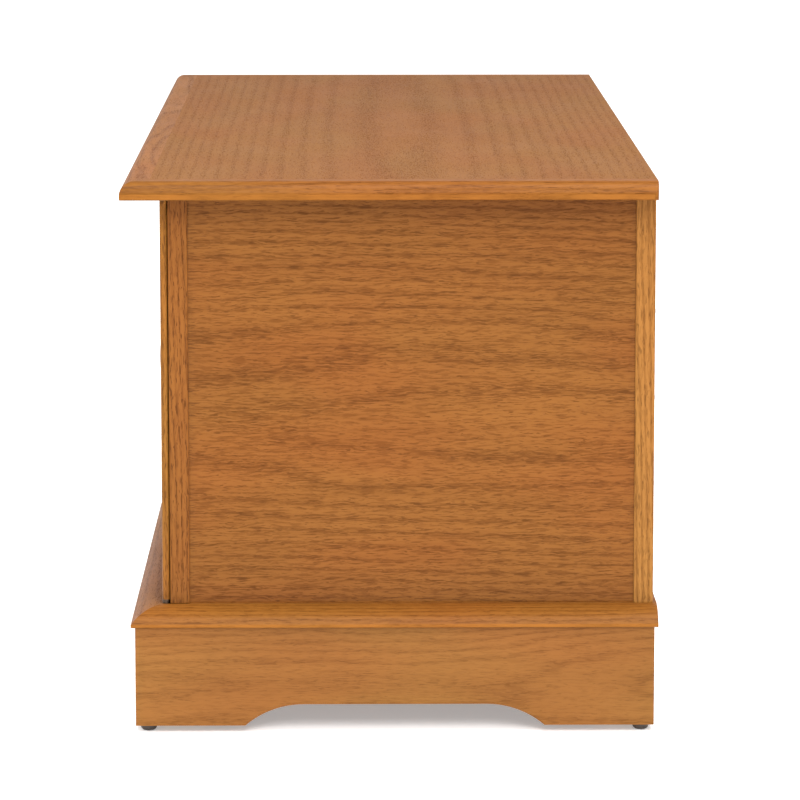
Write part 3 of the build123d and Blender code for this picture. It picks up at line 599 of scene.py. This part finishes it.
# ---- geometry-node kit
def node_tree(name, inputs):
    """An empty geometry tree with named inputs and one geometry output."""
    tree = bpy.data.node_groups.new(name, "GeometryNodeTree")
    tree.interface.new_socket("Geometry", in_out="INPUT", socket_type="NodeSocketGeometry")
    tree.interface.new_socket("Geometry", in_out="OUTPUT", socket_type="NodeSocketGeometry")
    for label, kind in inputs.items():
        tree.interface.new_socket(label, in_out="INPUT", socket_type=kind)
    return tree


def grow(piece, tree, **values):
    """Run a geometry tree on a piece and keep the result as its plain mesh."""
    modifier = piece.modifiers.new(tree.name, "NODES")
    modifier.node_group = tree
    for item in tree.interface.items_tree:
        if item.in_out == "INPUT" and item.name in values:
            modifier[item.identifier] = values[item.name]
    return settle(piece)


def set_out_tree():
    """Copies of one turned piece on points, each tipped alike and spun at random."""
    tree = node_tree("set_out", {
        "Piece": "NodeSocketObject",
        "Tip": "NodeSocketVector",
        "Spin": "NodeSocketFloat",
        "Seed": "NodeSocketInt",
        "Material": "NodeSocketMaterial",
    })
    nodes, link = tree.nodes, tree.links.new
    given = nodes.new("NodeGroupInput")
    model = nodes.new("GeometryNodeObjectInfo")
    link(given.outputs["Piece"], model.inputs["Object"])
    tip = nodes.new("FunctionNodeEulerToRotation")
    link(given.outputs["Tip"], tip.inputs[0])
    chance = nodes.new("FunctionNodeRandomValue")
    chance.data_type = "FLOAT"
    floats = [socket for socket in chance.inputs if socket.type == "VALUE" and socket.enabled]
    floats[0].default_value = 0.0
    link(given.outputs["Spin"], floats[1])
    link(given.outputs["Seed"], chance.inputs["Seed"])
    about = nodes.new("ShaderNodeCombineXYZ")
    link([socket for socket in chance.outputs if socket.enabled][0], about.inputs[2])
    spin = nodes.new("FunctionNodeEulerToRotation")
    link(about.outputs[0], spin.inputs[0])
    turn = nodes.new("FunctionNodeRotateRotation")
    turn.rotation_space = "LOCAL"
    link(tip.outputs[0], turn.inputs[0])
    link(spin.outputs[0], turn.inputs[1])
    place = nodes.new("GeometryNodeInstanceOnPoints")
    link(given.outputs["Geometry"], place.inputs["Points"])
    link(model.outputs["Geometry"], place.inputs["Instance"])
    link(turn.outputs[0], place.inputs["Rotation"])
    real = nodes.new("GeometryNodeRealizeInstances")
    link(place.outputs["Instances"], real.inputs["Geometry"])
    paint = nodes.new("GeometryNodeSetMaterial")
    link(real.outputs["Geometry"], paint.inputs["Geometry"])
    link(given.outputs["Material"], paint.inputs["Material"])
    out = nodes.new("NodeGroupOutput")
    link(paint.outputs["Geometry"], out.inputs[0])
    return tree


def islands(node):
    """The boxes of a node's separate solids, lowest and highest corners."""
    built = bmesh.new()
    built.from_mesh(frame["nodes"][node].data)
    bmesh.ops.remove_doubles(built, verts=built.verts, dist=WELD)
    left = set(built.verts)
    boxes = []
    while left:
        start = left.pop()
        heap, found = [start], [start.co.copy()]
        while heap:
            vert = heap.pop()
            for edge in vert.link_edges:
                other = edge.other_vert(vert)
                if other in left:
                    left.remove(other)
                    heap.append(other)
                    found.append(other.co.copy())
        low = Vector([min(point[i] for point in found) for i in range(3)])
        high = Vector([max(point[i] for point in found) for i in range(3)])
        boxes.append((low, high))
    built.free()
    return sorted(boxes, key=lambda pair: tuple(round(part, 4) for part in pair[0]))


def points_piece(name, points):
    """A piece that holds loose points for a geometry tree."""
    mesh = bpy.data.meshes.new(name)
    mesh.from_pydata([tuple(point) for point in points], [], [])
    piece = bpy.data.objects.new(name, mesh)
    bpy.context.scene.collection.objects.link(piece)
    return piece


def set_out(name, model, points, tip, spin, material, seed=3):
    """Copies of a model piece on points as one plain piece."""
    piece = points_piece(name, points)
    tree = bpy.data.node_groups.get("set_out") or set_out_tree()
    grow(piece, tree, Piece=model, Tip=tip, Spin=spin, Seed=seed, Material=material)
    if not piece.data.polygons:
        raise RuntimeError(name + ": no copies were made")
    return piece


def drop(model):
    """Remove a model piece that has served its turn."""
    mesh = model.data
    bpy.data.objects.remove(model)
    bpy.data.meshes.remove(mesh)


# ---- turned pieces
KNOB_PROJECTION = 14.0         # millimetres from the door's or the drawer's face

# Radius and height of the head, and length. A head with no height is countersunk.
KNOB_SCREW = (4.5 * MM, 2.2 * MM, 24 * MM)
DECK_SCREW = (0.004, 0.0, 0.044)
PLATE_SCREW = (0.0024, 0.0, 0.0155)
BACK_SCREW_LENGTH = 0.0155


def knob_model():
    """A low round knob that stands on its foot at height 0 and rises along Z."""
    head, neck, foot = 15.0, 7.3, 9.5          # radii, in millimetres as all of the profile is
    head_height, rounding, chamfer, dish = 7.5, 2.8, 0.3, 0.5
    top, steps = KNOB_PROJECTION, 8
    under = top - head_height
    flat = head - rounding
    profile = [(0.0, 0.0), (foot - chamfer, 0.0), (foot, chamfer)]
    for step in range(1, steps + 1):
        flare = (foot - neck) * (1 - step / steps) ** 2
        profile.append((neck + flare, chamfer + (under - chamfer) * step / steps))
    profile += arc((flat, under + rounding), rounding, -90, 90, 10)
    profile += arc((flat, top - rounding), rounding, 0, 90, 10)
    for step in range(1, steps):
        profile.append((flat * (1 - step / steps), top - dish * (1 - cos(pi * step / steps)) / 2))
    profile.append((0.0, top - dish))
    points = [(radius * MM, height * MM) for radius, height in profile]
    return new_piece("knob_model", turned(points, sizes().turning_steps))


def glide_model():
    """A domed glide that stands on height 0, with a groove under its nail plate."""
    radius, height, rounding = 8.0, 7.0, 4.5   # in millimetres as all of the profile is
    groove, groove_depth, plate = 0.2, 0.35, 0.9
    profile = [(0.0, 0.0)] + arc((radius - rounding, rounding), rounding, -90, 90, 12)
    profile.append((radius, height - plate - 2 * groove))
    profile.append((radius - groove_depth, height - plate - groove))
    profile += [(radius, height - plate), (radius, height), (0.0, height)]
    points = [(reach * MM, up * MM) for reach, up in profile]
    return new_piece("glide_model", turned(points, sizes().turning_steps))


def pin_model(radius, length):
    """A plain pin along Z with rounded ends, its middle at height 0."""
    end = 0.6 * MM                 # rounding of an end
    half = length / 2
    profile = [(0.0, -half)] + arc((radius - end, -half + end), end, -90, 90, 4)
    profile += arc((radius - end, half - end), end, 0, 90, 4) + [(0.0, half)]
    return new_piece("pin_model", turned(profile, 32))


def screw_model(radius, height, length):
    """A cross-head screw, its shank below height 0: domed above it, or countersunk at height 0."""
    shank = 0.45 * radius
    rim, steps = 0.25, 8           # the upright share of a domed head, flats up its dome
    point = [(0.0, -length), (0.3 * shank, -length), (shank, -length + 3 * shank)]
    neck = (shank, 0.0 if height else -0.8 * radius)
    head = [neck, (radius, 0.0), (radius, rim * height)]
    if height:
        for step in range(1, steps):
            turn = step * pi / (2 * steps)
            head.append((radius * cos(turn), height * (rim + (1 - rim) * sin(turn))))
    piece = new_piece("screw_model", turned([*point, *head, (0.0, height)], 40))
    cross, slot, depth = 1.15 * radius, 0.24 * radius, 0.5 * radius
    cutter = bmesh.new()
    for wide, deep in ((cross, slot), (slot, cross)):
        made = bmesh.ops.create_cube(cutter, size=1.0)["verts"]
        for vert in made:
            above = vert.co.z > 0
            taper = 1.0 if above else 0.55
            vert.co.x *= wide * taper
            vert.co.y *= deep * taper
            vert.co.z = height + 0.1 * radius if above else height - depth
    bmesh.ops.recalc_face_normals(cutter, faces=cutter.faces)
    mesh = bpy.data.meshes.new("recess")
    cutter.to_mesh(mesh)
    cutter.free()
    recess = bpy.data.objects.new("recess", mesh)
    bpy.context.scene.collection.objects.link(recess)
    cut = piece.modifiers.new("recess", "BOOLEAN")
    cut.operation = "DIFFERENCE"
    cut.solver = "EXACT"
    cut.use_self = True
    cut.object = recess
    settle(piece)
    drop(recess)
    return piece


def set_knobs(name, node, centres, screw_name):
    """Knobs on a front and the screws that hold them from behind."""
    low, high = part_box(node)
    model = knob_model()
    places = [Vector((x, low.y + KNOB_PROJECTION * MM, z)) for x, z in centres]
    piece = set_out(name, model, places, (pi / 2, 0, 0), 0.0, material_for(node))
    stand_for(piece, node)
    drop(model)
    model = screw_model(*KNOB_SCREW)
    places = [Vector((x, high.y - KNOB_SCREW[1], z)) for x, z in centres]
    steel = shared_material("zinc_steel")
    piece = set_out(screw_name, model, places, (-pi / 2, 0, 0), 2 * pi, steel)
    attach(piece, body_of[node])
    drop(model)


# ---- moulded pieces
def moulding_section(depths, rounding, upper_at):
    """(depth from the nose, lower height, upper height) across a moulding, nose first."""
    turns = (pi / 2 * step / NOSE_STEPS for step in range(NOSE_STEPS + 1))
    depths = depths | {rounding * (1 - cos(turn)) for turn in turns}
    section = []
    for depth in sorted(depths):
        short = max(0.0, rounding - depth)
        section.append((depth, rounding - sqrt(rounding ** 2 - short ** 2), upper_at(depth)))
    return section


def top_section():
    """The top's edging: a quarter of an ellipse over an upright nose."""
    size = sizes()
    low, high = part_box("top_edging_front")
    thick, curve, nose = high.z - low.z, size.top_curve_width, size.top_nose_height
    steps = size.curve_steps
    depths = {curve * (1 - cos(pi / 2 * step / steps)) for step in range(steps + 1)}

    def upper_at(depth):
        ratio = max(0.0, 1 - depth / curve)
        return nose + (thick - nose) * sqrt(1 - ratio * ratio)

    return moulding_section(depths | {TOP_EDGING_WIDTH}, size.top_nose_round, upper_at)


def deck_section():
    """The deck's moulding: a large curve that ends in an upright nose."""
    size = sizes()
    low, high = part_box("deck_moulding_front")
    thick, curve, steps = high.z - low.z, size.deck_curve_radius, size.curve_steps
    depths = {DECK_CURVE_REACH * step / steps for step in range(steps + 1)}

    def upper_at(depth):
        out = max(0.0, DECK_CURVE_REACH - depth)
        return thick - curve + sqrt(curve ** 2 - out ** 2)

    return moulding_section(depths | {DECK_MOULDING_WIDTH}, size.deck_nose_round, upper_at)


def run_moulding(node, section, place_start, place_end):
    """A closed moulding between two ends, each set by a rule of depth and height."""
    built = bmesh.new()
    layer = built.verts.layers.float.new("rubbed")
    rows = []
    for place in (place_start, place_end):
        lower = [built.verts.new(place(depth, low)) for depth, low, _ in section]
        upper = [built.verts.new(place(depth, high)) for depth, _, high in section]
        # The nose's edges take the lighter edge colour: wear and a painted highlight.
        lower[0][layer] = upper[0][layer] = upper[1][layer] = 1.0
        rows.append((lower, upper))
    (low_a, high_a), (low_b, high_b) = rows
    for index in range(len(section) - 1):
        after = index + 1
        built.faces.new((low_a[index], low_a[after], low_b[after], low_b[index]))
        built.faces.new((high_a[index], high_a[after], high_b[after], high_b[index]))
        built.faces.new((low_a[index], low_a[after], high_a[after], high_a[index]))
        built.faces.new((low_b[index], low_b[after], high_b[after], high_b[index]))
    built.faces.new((low_a[0], high_a[0], high_b[0], low_b[0]))
    built.faces.new((low_a[-1], high_a[-1], high_b[-1], low_b[-1]))
    stand_for(new_piece(PREFIX + node, built), node)


def run_set(prefix, section, back_round):
    """The front and the two end mouldings of a board, mitred at the front corners."""
    low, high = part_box(prefix + "_front")
    nose_x, nose_y, floor = high.x, low.y, low.z
    end_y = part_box(prefix + "_right")[1].y

    def mitre(side):
        return lambda depth, up: (side * (nose_x - depth), nose_y + depth, floor + up)

    def back_end(side):
        def place(depth, up):
            short = max(0.0, back_round - depth)
            back_y = end_y - back_round + sqrt(back_round ** 2 - short ** 2)
            return (side * (nose_x - depth), back_y, floor + up)
        return place

    run_moulding(prefix + "_front", section, mitre(-1), mitre(1))
    run_moulding(prefix + "_left", section, mitre(-1), back_end(-1))
    run_moulding(prefix + "_right", section, mitre(1), back_end(1))


# ---- operators
class CabinetTop(bpy.types.Operator):
    """Build the veneered top and its moulded edging"""

    bl_idname = "cabinet.top"
    bl_label = "Top"

    def execute(self, context):
        dress("top_panel", VENEER_ROUND)
        run_set("top_edging", top_section(), sizes().back_corner)
        return {"FINISHED"}


class CabinetDeck(bpy.types.Operator):
    """Build the deck and its moulded edging"""

    bl_idname = "cabinet.deck"
    bl_label = "Deck"

    def execute(self, context):
        dress("deck_panel", VENEER_ROUND)
        run_set("deck_moulding", deck_section(), 0.0)
        return {"FINISHED"}


class CabinetPlinth(bpy.types.Operator):
    """Build the arched plinth and its back board"""

    bl_idname = "cabinet.plinth"
    bl_label = "Plinth"

    def execute(self, context):
        for node in ("plinth_front", "plinth_left", "plinth_right", "plinth_back"):
            dress(node, sizes().joint_round)
        return {"FINISHED"}


class CabinetGlides(bpy.types.Operator):
    """Set a turned glide under each corner"""

    bl_idname = "cabinet.glides"
    bl_label = "Floor glides"

    def execute(self, context):
        model = glide_model()
        places = [
            Vector(((low.x + high.x) / 2, (low.y + high.y) / 2, low.z))
            for low, high in islands("floor_glides")
        ]
        brown = shared_material("glide_plastic")
        piece = set_out(PREFIX + "floor_glides", model, places, (0, 0, 0), 0.0, brown)
        stand_for(piece, "floor_glides")
        drop(model)
        return {"FINISHED"}


class CabinetEnds(bpy.types.Operator):
    """Build the end panels and the stiles that frame them"""

    bl_idname = "cabinet.ends"
    bl_label = "Ends"

    def execute(self, context):
        for side in ("left", "right"):
            dress("end_panel_" + side, sizes().joint_round)
            dress("front_stile_" + side, sizes().board_round)
            dress("rear_stile_" + side, sizes().board_round)
        return {"FINISHED"}


class CabinetFrontFrame(bpy.types.Operator):
    """Build the frame behind the doors and the drawer"""

    bl_idname = "cabinet.front_frame"
    bl_label = "Front frame"

    def execute(self, context):
        for node in (
            "inner_stile_left", "inner_stile_right",
            "front_rail_top", "front_rail_bottom", "front_rail_middle",
        ):
            dress(node, sizes().joint_round)
        return {"FINISHED"}


class CabinetInside(bpy.types.Operator):
    """Build the dividers, the shelves and the glued blocks"""

    bl_idname = "cabinet.inside"
    bl_label = "Dividers and shelves"

    def execute(self, context):
        for node in (
            "divider_left", "divider_right", "centre_shelf",
            "side_shelf_left", "side_shelf_right", "glue_blocks",
        ):
            dress(node, sizes().board_round)
        return {"FINISHED"}


class CabinetPins(bpy.types.Operator):
    """Set a steel pin under each corner of the side shelves"""

    bl_idname = "cabinet.pins"
    bl_label = "Shelf pins"

    def execute(self, context):
        boxes = islands("shelf_pins")
        low, high = boxes[0]
        model = pin_model((high.z - low.z) / 2, high.x - low.x)
        places = [(low + high) / 2 for low, high in boxes]
        steel = shared_material("zinc_steel")
        piece = set_out(PREFIX + "shelf_pins", model, places, (0, pi / 2, 0), 0.0, steel)
        stand_for(piece, "shelf_pins")
        drop(model)
        return {"FINISHED"}


class CabinetBack(bpy.types.Operator):
    """Build the back panel"""

    bl_idname = "cabinet.back"
    bl_label = "Back panel"

    def execute(self, context):
        dress("back_panel", sizes().joint_round)
        return {"FINISHED"}


class CabinetScrews(bpy.types.Operator):
    """Drive the screws of the back, the deck and the pivot plates"""

    bl_idname = "cabinet.screws"
    bl_label = "Case screws"

    def execute(self, context):
        steel = shared_material("zinc_steel")
        size = sizes()
        back, deck, low_plates, high_plates = [], [], [], []
        for low, high in islands("case_screws"):
            middle, height = (low + high) / 2, high.z - low.z
            if height > 0.03:                  # upright and long: into the deck from below
                deck.append(Vector((middle.x, middle.y, low.z)))
            elif height < 0.01:                # level: into the back from behind
                back.append(Vector((middle.x, high.y - size.screw_head_height, middle.z)))
            elif middle.z < 0.3:               # upright and short: through the pivot plates
                low_plates.append(Vector((middle.x, middle.y, high.z)))
            else:
                high_plates.append(Vector((middle.x, middle.y, low.z)))
        model = screw_model(size.screw_head, size.screw_head_height, BACK_SCREW_LENGTH)
        piece = set_out(PREFIX + "back_screws", model, back, (-pi / 2, 0, 0), 2 * pi, steel)
        stand_for(piece, "case_screws", material=steel)
        drop(model)
        model = screw_model(*DECK_SCREW)
        self.extra("deck_screws", model, deck, (pi, 0, 0), steel)
        drop(model)
        model = screw_model(*PLATE_SCREW)
        self.extra("plate_screws_low", model, low_plates, (0, 0, 0), steel)
        self.extra("plate_screws_high", model, high_plates, (pi, 0, 0), steel)
        drop(model)
        return {"FINISHED"}

    def extra(self, name, model, places, tip, steel):
        """More of the same node's screws, as a piece of their own."""
        piece = set_out(PREFIX + name, model, places, tip, 2 * pi, steel, 7)
        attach(piece, "cabinet")


class CabinetDoors(bpy.types.Operator):
    """Build both raised-panel doors"""

    bl_idname = "cabinet.doors"
    bl_label = "Doors"

    def execute(self, context):
        for side in ("left", "right"):
            for part in ("hinge_stile", "free_stile", "top_rail", "bottom_rail", "panel"):
                dress("door_" + side + "_" + part, sizes().joint_round)
        return {"FINISHED"}


class CabinetKnobs(bpy.types.Operator):
    """Turn the knobs of the doors and the drawer"""

    bl_idname = "cabinet.knobs"
    bl_label = "Knobs"

    def execute(self, context):
        for body in ("door_left", "door_right"):
            node = body + "_knob"
            set_knobs(PREFIX + node, node, self.centres([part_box(node)]), PREFIX + node + "_screw")
        centres = self.centres(islands("drawer_knobs"))
        set_knobs(PREFIX + "drawer_knobs", "drawer_knobs", centres, PREFIX + "drawer_knob_screws")
        return {"FINISHED"}

    def centres(self, boxes):
        """The middles of boxes as (x, z)."""
        return [((low.x + high.x) / 2, (low.z + high.z) / 2) for low, high in boxes]


class CabinetDoorFittings(bpy.types.Operator):
    """Finish the hinge leaves, pivot plates, catches and strike plates"""

    bl_idname = "cabinet.door_fittings"
    bl_label = "Hinges and catches"

    def execute(self, context):
        names = ["pivot_plates", "magnetic_catches"]
        for side in ("left", "right"):
            names += ["door_" + side + "_pivot_leaves", "door_" + side + "_strike_plate"]
        for node in names:
            mesh = frame["nodes"][node].data
            mesh.materials.clear()
            mesh.materials.append(material_for(node))
        return {"FINISHED"}


class CabinetDrawer(bpy.types.Operator):
    """Build the drawer's front and box"""

    bl_idname = "cabinet.drawer"
    bl_label = "Drawer"

    def execute(self, context):
        dress("drawer_front", sizes().joint_round)
        for node in ("drawer_side_left", "drawer_side_right", "drawer_back", "drawer_bottom"):
            dress(node, sizes().board_round)
        return {"FINISHED"}


class CabinetSlides(bpy.types.Operator):
    """Finish the drawer's slides"""

    bl_idname = "cabinet.slides"
    bl_label = "Drawer slides"

    def execute(self, context):
        for node in ("slide_outer_members", "slide_middle_members", "slide_inner_members"):
            dress(node, sizes().metal_round)
        return {"FINISHED"}


class CabinetStage(bpy.types.Operator):
    """Lay the pale floor, light it and set the camera"""

    bl_idname = "cabinet.stage"
    bl_label = "Stage"

    floor_size = 40.0              # half its width, wide enough to fill every view
    floor_glow = 0.35              # lifts the floor to near white without burning out the wood
    lamps = (
        # name, place, point it is aimed at, width, power
        ("end_light", (4.3, 0.4, 2.9), (0.6, 0.0, 0.25), 2.0, 150.0),
        ("top_light", (1.3, 0.2, 3.4), (0.5, 0.0, 0.4), 2.0, 140.0),
        ("fill_light", (-3.6, -3.2, 2.4), (-0.3, 0.0, 0.25), 2.2, 90.0),
    )
    camera_place = (4.478, -0.030, 0.966)
    camera_pitch, camera_yaw = radians(8.254), radians(0.57)
    camera_lens, camera_shift = 185.03, -0.10

    def execute(self, context):
        scene = context.scene
        self.lay_floor(scene)
        self.light(scene)
        self.set_camera(scene)
        scene.view_settings.view_transform = "Standard"
        return {"FINISHED"}

    def lay_floor(self, scene):
        built = bmesh.new()
        bmesh.ops.create_grid(built, x_segments=1, y_segments=1, size=self.floor_size)
        mesh = bpy.data.meshes.new("floor")
        built.to_mesh(mesh)
        built.free()
        floor = bpy.data.objects.new("floor", mesh)
        scene.collection.objects.link(floor)
        pale = colours().floor
        recipe = Recipe("pale_floor")
        place = recipe.node("ShaderNodeTexCoord").outputs["Object"]
        cloud = recipe.noise(place, (3.0, 3.0, 3.0), 2.0)
        tint = recipe.mix(cloud, solid([0.985 * part for part in pale]), solid(pale))
        recipe.finish(
            Base_Color=tint, Roughness=0.9,
            Emission_Color=solid(pale), Emission_Strength=self.floor_glow,
        )
        mesh.materials.append(recipe.material)

    def light(self, scene):
        world = bpy.data.worlds.new("studio")
        world.use_nodes = True
        sky = world.node_tree.nodes["Background"]
        sky.inputs["Color"].default_value = (1.0, 1.0, 1.0, 1.0)
        sky.inputs["Strength"].default_value = 1.0
        scene.world = world
        for name, place, aim, width, power in self.lamps:
            lamp = bpy.data.lights.new(name, "AREA")
            lamp.size = width
            lamp.energy = power
            holder = bpy.data.objects.new(name, lamp)
            holder.location = place
            holder.rotation_euler = (Vector(aim) - Vector(place)).to_track_quat("-Z", "Y").to_euler()
            scene.collection.objects.link(holder)

    def set_camera(self, scene):
        lens = bpy.data.cameras.new("camera")
        lens.sensor_width = 36.0
        lens.lens = self.camera_lens
        lens.shift_y = self.camera_shift
        camera = bpy.data.objects.new("camera", lens)
        camera.location = self.camera_place
        pitch, yaw = self.camera_pitch, self.camera_yaw
        ahead = Vector((-cos(pitch) * cos(yaw), cos(pitch) * sin(yaw), -sin(pitch)))
        camera.rotation_euler = ahead.to_track_quat("-Z", "Y").to_euler()
        scene.collection.objects.link(camera)
        scene.camera = camera


OPERATORS = (
    CabinetTop, CabinetDeck, CabinetPlinth, CabinetGlides, CabinetEnds, CabinetFrontFrame,
    CabinetInside, CabinetPins, CabinetBack, CabinetScrews, CabinetDoors, CabinetKnobs,
    CabinetDoorFittings, CabinetDrawer, CabinetSlides, CabinetStage,
)


class VIEW3D_PT_cabinet(bpy.types.Panel):
    """The cabinet's pieces, in the order they are built"""

    bl_label = "Oak media cabinet"
    bl_idname = "VIEW3D_PT_cabinet"
    bl_space_type = "VIEW_3D"
    bl_region_type = "UI"
    bl_category = "Cabinet"

    def draw(self, context):
        for operator in OPERATORS:
            self.layout.operator(operator.bl_idname)
        for group in (context.scene.cabinet_sizes, context.scene.cabinet_colours):
            box = self.layout.box()
            for name in group.bl_rna.properties.keys():
                if name not in ("rna_type", "name"):
                    box.prop(group, name)


CLASSES = (CabinetSizes, CabinetColours, *OPERATORS, VIEW3D_PT_cabinet)


def register():
    for item in CLASSES:
        bpy.utils.register_class(item)
    bpy.types.Scene.cabinet_sizes = bpy.props.PointerProperty(type=CabinetSizes)
    bpy.types.Scene.cabinet_colours = bpy.props.PointerProperty(type=CabinetColours)


def unregister():
    del bpy.types.Scene.cabinet_colours
    del bpy.types.Scene.cabinet_sizes
    for item in reversed(CLASSES):
        bpy.utils.unregister_class(item)


def main():
    """Build every piece and the stage."""
    register()
    for operator in OPERATORS:
        name = operator.bl_idname.split(".")[1]
        getattr(bpy.ops.cabinet, name)()


if __name__ == "__main__":
    main()
